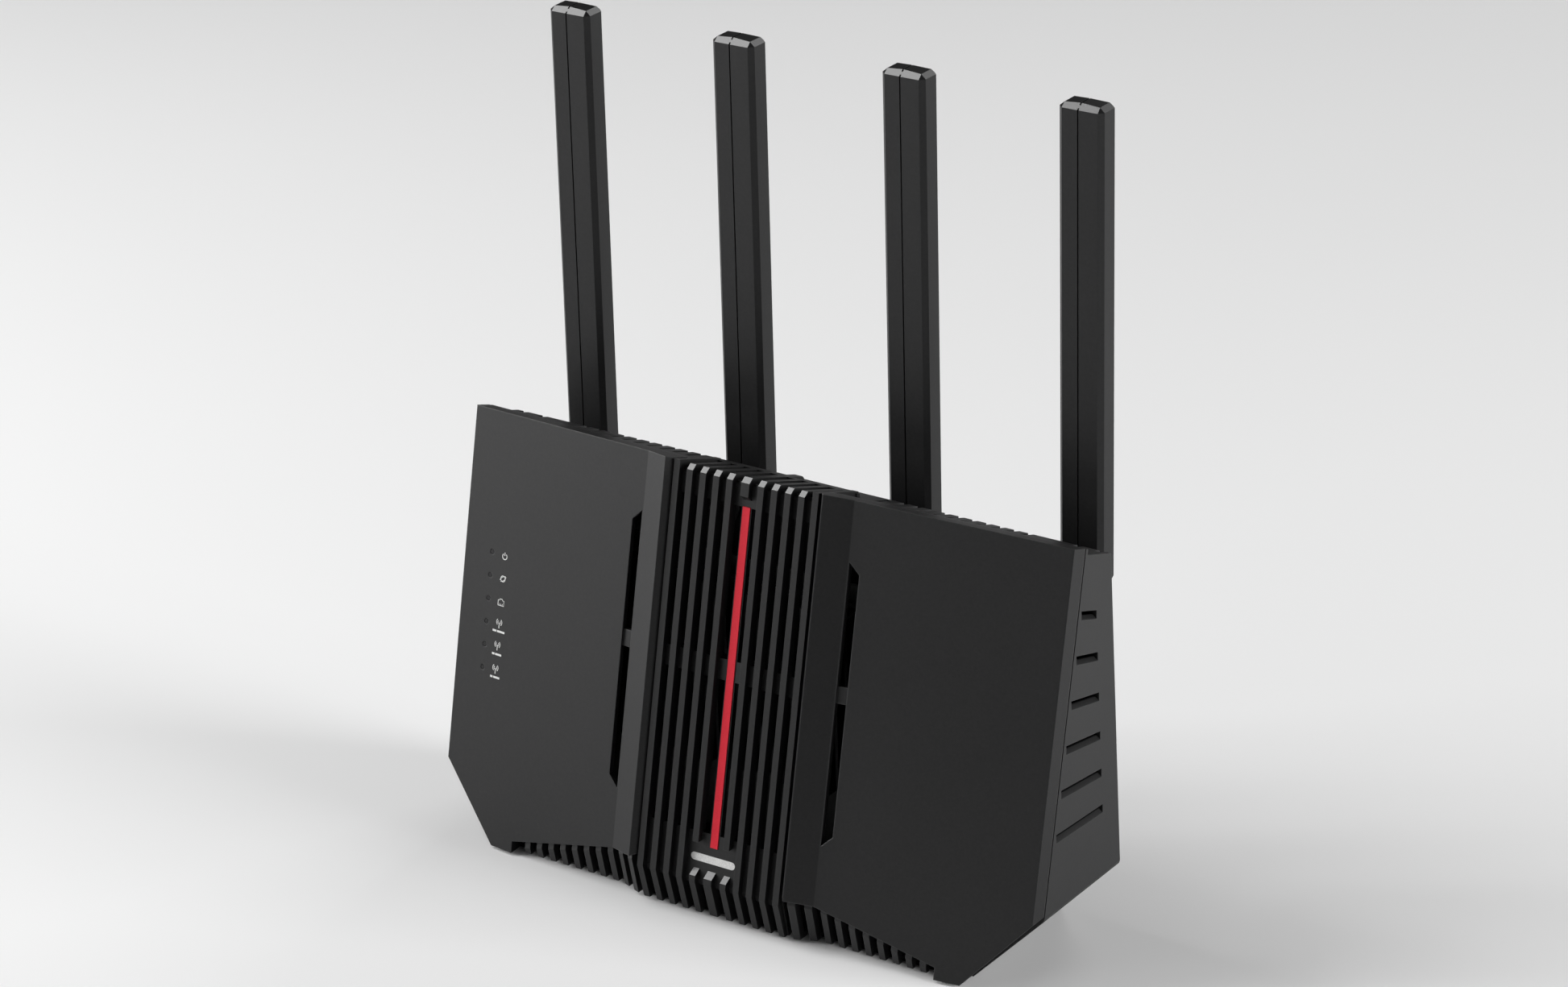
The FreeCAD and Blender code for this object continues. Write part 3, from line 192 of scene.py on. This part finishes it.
def moulded_plastic(name, colour, lighter, roughness, edge_radius, specular=0.27, facets=0.7):
    """Black plastic from an eroded tool: fine pits, a slow drift of gloss, polish on edges and slopes, and
    edges painted lighter, partly as wear and partly as a painted highlight.

    The facets value is how far faces that slope upwards are polished.
    """
    material, tree, shader, place = new_material(name)
    pits = noise(tree, place, 2400.0, 3.0, 0.6)
    speck = noise(tree, place, 900.0)
    drift = noise(tree, place, 14.0, 3.0)
    rounded, edge = rounded_edges(tree, edge_radius)
    height = weighted(tree, pits, 0.6, speck, 0.4)
    tree.links.new(bump(tree, height, PIT_DEPTH, rounded), shader.inputs["Normal"])

    tint = remap(tree, weighted(tree, speck, 0.7, drift, 0.3), 0.3, 0.7)
    base = blend_colours(tree, tint, colour, lighter)
    # Edges are painted lighter: partly wear, partly a painted highlight where the rounded edges catch the
    # light.
    lighter_edge = tuple(c * 1.7 + 0.004 for c in lighter)
    edge_wear_and_highlight = calc(tree, "MULTIPLY", edge, remap(tree, speck, 0.35, 0.65, 0.35, 0.9))
    tree.links.new(blend_colours(tree, edge_wear_and_highlight, base, lighter_edge), shader.inputs["Base Color"])

    parts = add(tree, "ShaderNodeSeparateXYZ", Vector=place.node.outputs["Normal"])
    upward = parts.outputs["Z"]
    facet = calc(tree, "MULTIPLY", remap(tree, upward, 0.5, 0.6), remap(tree, upward, 0.9, 0.85))
    gloss = remap(tree, drift, 0.3, 0.7, roughness - 0.035, roughness + 0.035)
    gloss = calc(tree, "SUBTRACT", gloss, calc(tree, "MULTIPLY", edge, 0.12))
    gloss = calc(tree, "SUBTRACT", gloss, calc(tree, "MULTIPLY", facet, facets * 0.25))
    tree.links.new(gloss, shader.inputs["Roughness"])
    polish = weighted(tree, facet, facets, edge, 0.6)
    tree.links.new(calc(tree, "MINIMUM", polish, 1.0), shader.inputs["Coat Weight"])
    shader.inputs["Coat Roughness"].default_value = 0.3
    shader.inputs["Specular IOR Level"].default_value = specular
    return material


def painted_strip(name):
    """Red satin strip: colour with fine flake, dark where the edges turn."""
    material, tree, shader, place = new_material(name)
    flake = noise(tree, place, 3000.0)
    drift = noise(tree, place, 30.0)
    rounded, edge = rounded_edges(tree, STRIP_EDGE)
    base = blend_colours(tree, remap(tree, flake, 0.35, 0.65), (0.6, 0.009, 0.026), (0.68, 0.013, 0.034))
    turned = calc(tree, "MULTIPLY", edge, 0.9)
    tree.links.new(blend_colours(tree, turned, base, (0.05, 0.004, 0.006)), shader.inputs["Base Color"])
    tree.links.new(remap(tree, drift, 0.3, 0.7, 0.36, 0.44), shader.inputs["Roughness"])
    tree.links.new(bump(tree, flake, 0.006 * MM, rounded), shader.inputs["Normal"])
    shader.inputs["Specular IOR Level"].default_value = 0.25
    return material


def metal(name, colour, roughness, brushed=(1.0, 1.0, 1.0), scale=900.0, depth=0.01 * MM):
    """Plated or drawn metal: fine directional lines, stains that dull it in places."""
    material, tree, shader, place = new_material(name)
    along = add(tree, "ShaderNodeMapping", Vector=place, Scale=brushed).outputs["Vector"]
    lines = noise(tree, along, scale, 3.0, 0.6)
    stain = noise(tree, place, 60.0, 4.0, 0.6)
    rounded, edge = rounded_edges(tree, PLATED_EDGE)
    darker = tuple(c * 0.78 for c in colour)
    brighter = tuple(c * 1.08 for c in colour)
    base = blend_colours(tree, remap(tree, stain, 0.35, 0.7), brighter, darker)
    lighter_edge = calc(tree, "MULTIPLY", edge, 0.5)
    tree.links.new(blend_colours(tree, lighter_edge, base, brighter), shader.inputs["Base Color"])
    gloss = remap(tree, stain, 0.3, 0.7, roughness - 0.05, roughness + 0.09)
    tree.links.new(gloss, shader.inputs["Roughness"])
    tree.links.new(bump(tree, lines, depth, rounded), shader.inputs["Normal"])
    shader.inputs["Metallic"].default_value = 1.0
    return material


def circuit_board(name):
    """Black solder mask with copper tracks showing through it as a lighter, raised pattern; the mask is
    also kept this dark as painted shade for the inside seen through the grille.
    """
    material, tree, shader, place = new_material(name)
    cells = add(tree, "ShaderNodeTexVoronoi", Vector=place, Scale=220.0, distance="MANHATTAN", feature="F1")
    track = remap(tree, cells.outputs["Distance"], 0.42, 0.5)
    weave = noise(tree, place, 1500.0)
    drift = noise(tree, place, 25.0)
    # Solder mask colour, kept near black as painted shade for the inside behind the grille.
    mask = blend_colours(tree, remap(tree, drift, 0.3, 0.7), (0.006, 0.008, 0.007), (0.009, 0.011, 0.01))
    shown = calc(tree, "MULTIPLY", track, 0.6)
    tree.links.new(blend_colours(tree, shown, mask, (0.018, 0.02, 0.019)), shader.inputs["Base Color"])
    tree.links.new(remap(tree, weave, 0.3, 0.7, 0.3, 0.42), shader.inputs["Roughness"])
    height = weighted(tree, track, 0.7, weave, 0.3)
    tree.links.new(bump(tree, height, 0.03 * MM), shader.inputs["Normal"])
    return material


def soft_rubber(name, colour):
    """Dull rubber: low sheen, fine talc bloom and small pits."""
    material, tree, shader, place = new_material(name)
    pits = noise(tree, place, 1800.0, 4.0, 0.7)
    bloom = noise(tree, place, 120.0, 4.0, 0.6)
    rounded, _ = rounded_edges(tree, RUBBER_EDGE)
    paler = tuple(c * 1.8 + 0.01 for c in colour)
    tree.links.new(blend_colours(tree, remap(tree, bloom, 0.35, 0.75), colour, paler),
                   shader.inputs["Base Color"])
    tree.links.new(remap(tree, bloom, 0.3, 0.7, 0.72, 0.86), shader.inputs["Roughness"])
    tree.links.new(bump(tree, pits, 0.05 * MM, rounded), shader.inputs["Normal"])
    shader.inputs["Specular IOR Level"].default_value = 0.3
    return material


def even_surface(name, scale, detail, grain, colours, roughness, relief, tint=None):
    """A surface whose colour, gloss and relief all follow one fine noise, or its colour another one."""
    material, tree, shader, place = new_material(name)
    fine = noise(tree, place, scale, detail, grain)
    broad = noise(tree, place, *tint) if tint else fine
    tree.links.new(blend_colours(tree, remap(tree, broad, 0.3, 0.7), *colours), shader.inputs["Base Color"])
    tree.links.new(remap(tree, fine, 0.3, 0.7, *roughness), shader.inputs["Roughness"])
    tree.links.new(bump(tree, fine, relief), shader.inputs["Normal"])
    return material, shader


def smoked_lens(name):
    """Smoked light pipe: cloudy inside and almost black when it is off."""
    colours = ((0.006, 0.006, 0.0065), (0.01, 0.01, 0.0105))
    material, shader = even_surface(name, 400.0, 3.0, 0.5, colours, (0.4, 0.5), PRINT_RELIEF)
    shader.inputs["Specular IOR Level"].default_value = 0.2
    return material


def printed_ink(name, colour):
    """Pad-printed ink: nearly opaque, a little uneven where the plastic's grain shows through."""
    thin = tuple(c * 0.72 for c in colour)
    return even_surface(name, 2400.0, 2.0, 0.5, (thin, colour), (0.5, 0.62), PRINT_RELIEF)[0]


def sticker(name):
    """Plain rating label: satin film with a faint fibre and a slightly yellowed tone."""
    colours = ((0.5, 0.5, 0.49), (0.58, 0.57, 0.55))
    return even_surface(name, 700.0, 4.0, 0.7, colours, (0.38, 0.5), PRINT_RELIEF, tint=(40.0, 3.0))[0]


def ribbon_film(name):
    """Flat cable: pale film with copper lines along it."""
    material, tree, shader, place = new_material(name)
    wave = add(tree, "ShaderNodeTexWave", Vector=place, Scale=160.0, Distortion=0.0, bands_direction="Z")
    drift = noise(tree, place, 200.0)
    line = remap(tree, wave.outputs["Fac"], 0.4, 0.6)
    tree.links.new(blend_colours(tree, line, (0.62, 0.62, 0.58), (0.5, 0.4, 0.3)),
                   shader.inputs["Base Color"])
    tree.links.new(remap(tree, drift, 0.3, 0.7, 0.35, 0.45), shader.inputs["Roughness"])
    tree.links.new(bump(tree, line, 0.03 * MM), shader.inputs["Normal"])
    return material


BLACK = ((0.0072, 0.0072, 0.0075), (0.011, 0.011, 0.0113))
BUTTON_BLACK = ((0.011, 0.011, 0.0115), (0.017, 0.017, 0.0175))
PORT_BLACK = ((0.006, 0.006, 0.006), (0.01, 0.01, 0.01))
# Heat sink grey, kept near black as painted shade for the inside behind the grille.
HEAT_SINK_SHADE_GREY = (0.035, 0.035, 0.037)

FINISHES = {
    "front_plastic": moulded_plastic("front_plastic", *BLACK, 0.47, 0.6 * MM, facets=0.0),
    "grille_plastic": moulded_plastic("grille_plastic", *BLACK, 0.47, 0.12 * MM, facets=0.95),
    "housing_plastic": moulded_plastic("housing_plastic", *BLACK, 0.5, 0.3 * MM, specular=0.42, facets=0.0),
    "antenna_plastic": moulded_plastic("antenna_plastic", *BLACK, 0.45, 0.15 * MM),
    "swivel_plastic": moulded_plastic("swivel_plastic", *BLACK, 0.42, 0.3 * MM),
    "button_plastic": moulded_plastic("button_plastic", *BUTTON_BLACK, 0.4, 0.3 * MM),
    "port_plastic": moulded_plastic("port_plastic", *PORT_BLACK, 0.4, 0.15 * MM),
    "accent_plastic": painted_strip("accent_plastic"),
    "board_laminate": circuit_board("board_laminate"),
    "jack_metal": metal("jack_metal", (0.62, 0.62, 0.6), 0.3, (1.0, 1.0, 8.0)),
    "port_metal": metal("port_metal", (0.6, 0.6, 0.58), 0.28, (1.0, 8.0, 1.0)),
    "contact_gold": metal("contact_gold", (0.9, 0.62, 0.25), 0.22),
    "heat_sink_metal": metal("heat_sink_metal", HEAT_SINK_SHADE_GREY, 0.45, (1.0, 1.0, 6.0), 500.0, 0.03 * MM),
    "shield_metal": metal("shield_metal", (0.66, 0.66, 0.63), 0.34, scale=300.0, depth=0.02 * MM),
    "screw_steel": metal("screw_steel", (0.3, 0.3, 0.31), 0.3, (1.0, 6.0, 1.0)),
    "pin_steel": metal("pin_steel", (0.5, 0.5, 0.5), 0.25),
    "clip_steel": metal("clip_steel", (0.45, 0.45, 0.45), 0.3),
    "pad_rubber": soft_rubber("pad_rubber", (0.22, 0.24, 0.27)),
    "foot_rubber": soft_rubber("foot_rubber", (0.02, 0.02, 0.02)),
    "lead_jacket": soft_rubber("lead_jacket", (0.03, 0.03, 0.03)),
    "light_pipe": smoked_lens("light_pipe"),
    "led_plastic": smoked_lens("led_plastic"),
    "ribbon_plastic": ribbon_film("ribbon_plastic"),
    "label_plastic": sticker("label_plastic"),
}
INK = printed_ink("mark_ink", (0.72, 0.72, 0.71))
PALE_INK = printed_ink("rear_ink", (0.42, 0.42, 0.42))


def dress_nodes():
    """Every node of the CAD gets the finish that its own material names."""
    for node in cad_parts.values():
        for place in node.material_slots:
            place.material = FINISHES[place.material.name]


# ---------------------------------------------------------------- printed marks

def panel_point(x, z):
    """A point on the front panels, for x and z in millimetres."""
    return Vector((x, PANEL_Y + LEAN * z + SWEEP * abs(x), z)) * MM


def stroke(bm, points, width):
    """A flat ribbon of the width along points in the mark's own plane."""
    last = len(points) - 1
    sides = []
    for i, (x, y) in enumerate(points):
        before = points[max(i - 1, 0)]
        after = points[min(i + 1, last)]
        along = (Vector(after) - Vector(before)).normalized()
        across = Vector((-along.y, along.x)) * width / 2.0
        sides.append((bm.verts.new((x + across.x, y + across.y, 0.0)),
                      bm.verts.new((x - across.x, y - across.y, 0.0))))
    for (a, b), (c, d) in zip(sides, sides[1:]):
        bm.faces.new((a, c, d, b))


def arc(centre, radius, start, end, steps=24, squeeze=1.0, tilt=0.0):
    """Points along an arc from start to end, in degrees, of a circle or a tilted ellipse."""
    turn = math.radians(tilt)
    points = []
    for i in range(steps + 1):
        angle = math.radians(start + (end - start) * i / steps)
        x, y = radius * math.cos(angle), radius * squeeze * math.sin(angle)
        points.append((centre[0] + x * math.cos(turn) - y * math.sin(turn),
                       centre[1] + x * math.sin(turn) + y * math.cos(turn)))
    return points


def power_mark(bm):
    stroke(bm, arc((0.0, 0.0), 1.15, 125.0, 415.0), 0.34)
    stroke(bm, [(0.0, 0.3), (0.0, 1.65)], 0.34)


def globe_mark(bm):
    stroke(bm, arc((0.0, 0.0), 1.15, 0.0, 360.0), 0.3)
    stroke(bm, arc((0.0, 0.0), 1.7, 200.0, 520.0, 32, 0.42, 35.0), 0.26)


def socket_mark(bm):
    stroke(bm, [(-1.5, -1.1), (-1.5, 1.0), (-0.7, 1.0), (-0.7, 1.5), (0.7, 1.5), (0.7, 1.0), (1.5, 1.0),
                (1.5, -1.1), (-1.5, -1.1)], 0.28)
    for x in (-0.75, 0.0, 0.75):
        stroke(bm, [(x, -1.0), (x, -0.35)], 0.2)


def wave_mark(bm):
    stroke(bm, [(0.0, -1.9), (0.0, 0.4)], 0.34)
    for side in (0.0, 180.0):
        for radius, steps in ((0.75, 10), (1.4, 12)):
            stroke(bm, arc((0.0, 0.5), radius, side - 52.0, side + 52.0, steps), 0.26)


def inlet_mark(bm):
    stroke(bm, arc((0.0, 0.0), 1.0, -60.0, 240.0), 0.28)
    stroke(bm, arc((0.0, 0.0), 0.25, 0.0, 360.0, 12), 0.28)


def digit_mark(index):
    """One of the digits 1 to 4 as plain strokes."""
    strokes = (
        [[(-0.5, 0.7), (0.1, 1.2), (0.1, -1.2)]],
        [arc((0.0, 0.5), 0.7, 170.0, -30.0, 12) + [(-0.7, -1.1), (0.8, -1.1)]],
        [arc((0.0, 0.6), 0.6, 150.0, -90.0, 12), arc((0.0, -0.55), 0.65, 90.0, -150.0, 12)],
        [[(0.3, -1.2), (0.3, 1.2), (-0.8, -0.5), (0.8, -0.5)]],
    )[index]

    def draw(bm):
        for points in strokes:
            stroke(bm, points, 0.28)
    return draw


def bar_mark(widths):
    """Short bars side by side."""
    def draw(bm):
        x = -(sum(widths) + BAND_BAR_GAP * (len(widths) - 1)) / 2.0
        for width in widths:
            stroke(bm, [(x, 0.0), (x + width, 0.0)], BAND_BAR_HEIGHT)
            x += width + BAND_BAR_GAP
    return draw


def plate_bar(bm):
    """A bar with round ends."""
    radius = PLATE_BAR_HEIGHT / 2.0
    reach = PLATE_BAR_WIDTH / 2.0 - radius
    rim = [(x + reach, y) for x, y in arc((0.0, 0.0), radius, -90.0, 90.0, 12)]
    rim += [(x - reach, y) for x, y in arc((0.0, 0.0), radius, 90.0, 270.0, 12)]
    bm.faces.new([bm.verts.new((x, y, 0.0)) for x, y in rim])


def printed(name, draw, matrix, ink):
    """A mark as a thin printed layer, in millimetres in its own plane, laid on by matrix."""
    bm = bmesh.new()
    draw(bm)
    bmesh.ops.remove_doubles(bm, verts=bm.verts, dist=0.001)
    made = bmesh.ops.extrude_face_region(bm, geom=bm.faces[:])
    raised = [v for v in made["geom"] if isinstance(v, bmesh.types.BMVert)]
    bmesh.ops.translate(bm, verts=raised, vec=(0.0, 0.0, INK_THICKNESS))
    bmesh.ops.recalc_face_normals(bm, faces=bm.faces)
    bmesh.ops.scale(bm, verts=bm.verts, vec=(MM, MM, MM))
    bmesh.ops.transform(bm, matrix=matrix, verts=bm.verts)
    mesh = bpy.data.meshes.new(name)
    bm.to_mesh(mesh)
    bm.free()
    mesh.materials.append(ink)
    piece = bpy.data.objects.new(name, mesh)
    bpy.context.scene.collection.objects.link(piece)
    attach(piece, "housing")


def placed(right, down, out, place):
    """The matrix whose axes are the first three vectors and whose origin is place."""
    return Matrix((
        (right.x, down.x, out.x, place.x),
        (right.y, down.y, out.y, place.y),
        (right.z, down.z, out.z, place.z),
        (0.0, 0.0, 0.0, 1.0)))


def laid_on(place, right, up):
    """The matrix that lays a mark's own plane on a face: its x along right, its y along up."""
    up = up.normalized()
    out = right.cross(up).normalized()
    return placed(up.cross(out), up, out, place)


def front_marks():
    """Marks beside the six lights: power, network, socket, and three radio bands with plain bars."""
    right = Vector((1.0, -SWEEP, 0.0))
    up = Vector((0.0, LEAN, 1.0))
    marks = ((113.9, power_mark), (105.2, globe_mark), (95.8, socket_mark),
             (87.7, wave_mark), (79.0, wave_mark), (69.8, wave_mark))
    for i, (z, draw) in enumerate(marks):
        printed(f"light_mark_{i + 1}", draw, laid_on(panel_point(MARK_X, z), right, up), INK)
    for i, (z, widths) in enumerate(zip(BAND_BAR_ROWS, BAND_BAR_WIDTHS)):
        printed(f"band_bars_{i + 1}", bar_mark(widths), laid_on(panel_point(MARK_X, z), right, up), INK)


def plate_mark():
    """A plain bar on the plate below the red strip."""
    place = Vector((0.0, PLATE_Y + LEAN * PLATE_BAR_Z, PLATE_BAR_Z)) * MM
    printed("plate_bar", plate_bar, laid_on(place, Vector((1, 0, 0)), Vector((0, LEAN, 1))), INK)


def rear_marks():
    """Small signs above the sockets and buttons, read from behind."""
    _, jacks_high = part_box("lan_jacks")
    face_y = jacks_high.y - SIGN_DEPTH * MM
    row_z = jacks_high.z + SIGN_RISE * MM
    draws = {}
    for i in range(4):
        middle = jacks_high.x - (FIRST_SOCKET + SOCKET_PITCH * i) * MM
        draws[f"socket_number_{i + 1}"] = (middle, digit_mark(i))
    signs = (("network_sign", "wan_jack", globe_mark), ("power_sign", "power_button", power_mark),
             ("inlet_sign", "dc_jack", inlet_mark), ("pairing_sign", "pairing_button", wave_mark),
             ("memory_sign", "usb_port", socket_mark))
    for name, node, draw in signs:
        low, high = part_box(node)
        draws[name] = ((low.x + high.x) / 2.0, draw)
    for name, (x, draw) in draws.items():
        place = Vector((x, face_y, row_z))
        printed(name, draw, laid_on(place, Vector((-1, 0, 0)), Vector((0, 0, 1))), PALE_INK)


# ---------------------------------------------------------------- stage, light, camera

def make_floor():
    mesh = bpy.data.meshes.new("floor")
    corners = [(x * FLOOR_REACH, y * FLOOR_REACH, 0.0) for x, y in ((-1, -1), (1, -1), (1, 1), (-1, 1))]
    mesh.from_pydata(corners, [], [(0, 1, 2, 3)])
    floor = bpy.data.objects.new("floor", mesh)
    bpy.context.scene.collection.objects.link(floor)
    material, tree, shader, place = new_material("floor")
    drift = noise(tree, place, 3.0)
    tree.links.new(blend_colours(tree, drift, (0.86, 0.86, 0.86), (0.88, 0.88, 0.88)),
                   shader.inputs["Base Color"])
    shader.inputs["Roughness"].default_value = 0.9
    shader.inputs["Specular IOR Level"].default_value = 0.1
    mesh.materials.append(material)


def area_light(name, place, size, power):
    """A square lamp at place that shines at LAMP_AIM."""
    data = bpy.data.lights.new(name, "AREA")
    data.shape = "RECTANGLE"
    data.size = size
    data.size_y = size
    data.energy = power
    lamp = bpy.data.objects.new(name, data)
    lamp.location = place
    lamp.rotation_mode = "QUATERNION"
    lamp.rotation_quaternion = (place - LAMP_AIM).to_track_quat("Z", "Y")
    bpy.context.scene.collection.objects.link(lamp)


def make_light():
    world = bpy.data.worlds.new("studio")
    world.use_nodes = True
    background = world.node_tree.nodes["Background"]
    background.inputs["Color"].default_value = (1.0, 1.0, 1.0, 1.0)
    background.inputs["Strength"].default_value = WORLD
    bpy.context.scene.world = world
    for name, azimuth, elevation, size, power in LAMPS:
        around, up = math.radians(azimuth), math.radians(elevation)
        place = Vector((math.sin(around) * math.cos(up), -math.cos(around) * math.cos(up), math.sin(up)))
        area_light(name, place * LAMP_DISTANCE + LAMP_AIM, size, power)


def make_camera():
    forward = Vector((-math.sin(YAW) * math.cos(ELEVATION), math.cos(YAW) * math.cos(ELEVATION),
                      -math.sin(ELEVATION)))
    level = Vector((math.cos(YAW), math.sin(YAW), 0.0))
    down = forward.cross(level)
    right = level * math.cos(ROLL) + down * math.sin(ROLL)
    down = down * math.cos(ROLL) - level * math.sin(ROLL)
    data = bpy.data.cameras.new("camera")
    data.lens = LENS
    data.sensor_width = SENSOR_WIDTH
    data.sensor_fit = "HORIZONTAL"
    data.clip_end = CLIP_END
    camera = bpy.data.objects.new("camera", data)
    camera.matrix_world = placed(right, -down, -forward, TARGET - forward * DISTANCE)
    bpy.context.scene.collection.objects.link(camera)
    bpy.context.scene.camera = camera


def main():
    bpy.context.scene.view_settings.view_transform = "Standard"
    make_camera()
    dress_nodes()
    front_marks()
    plate_mark()
    rear_marks()
    make_floor()
    make_light()


main()
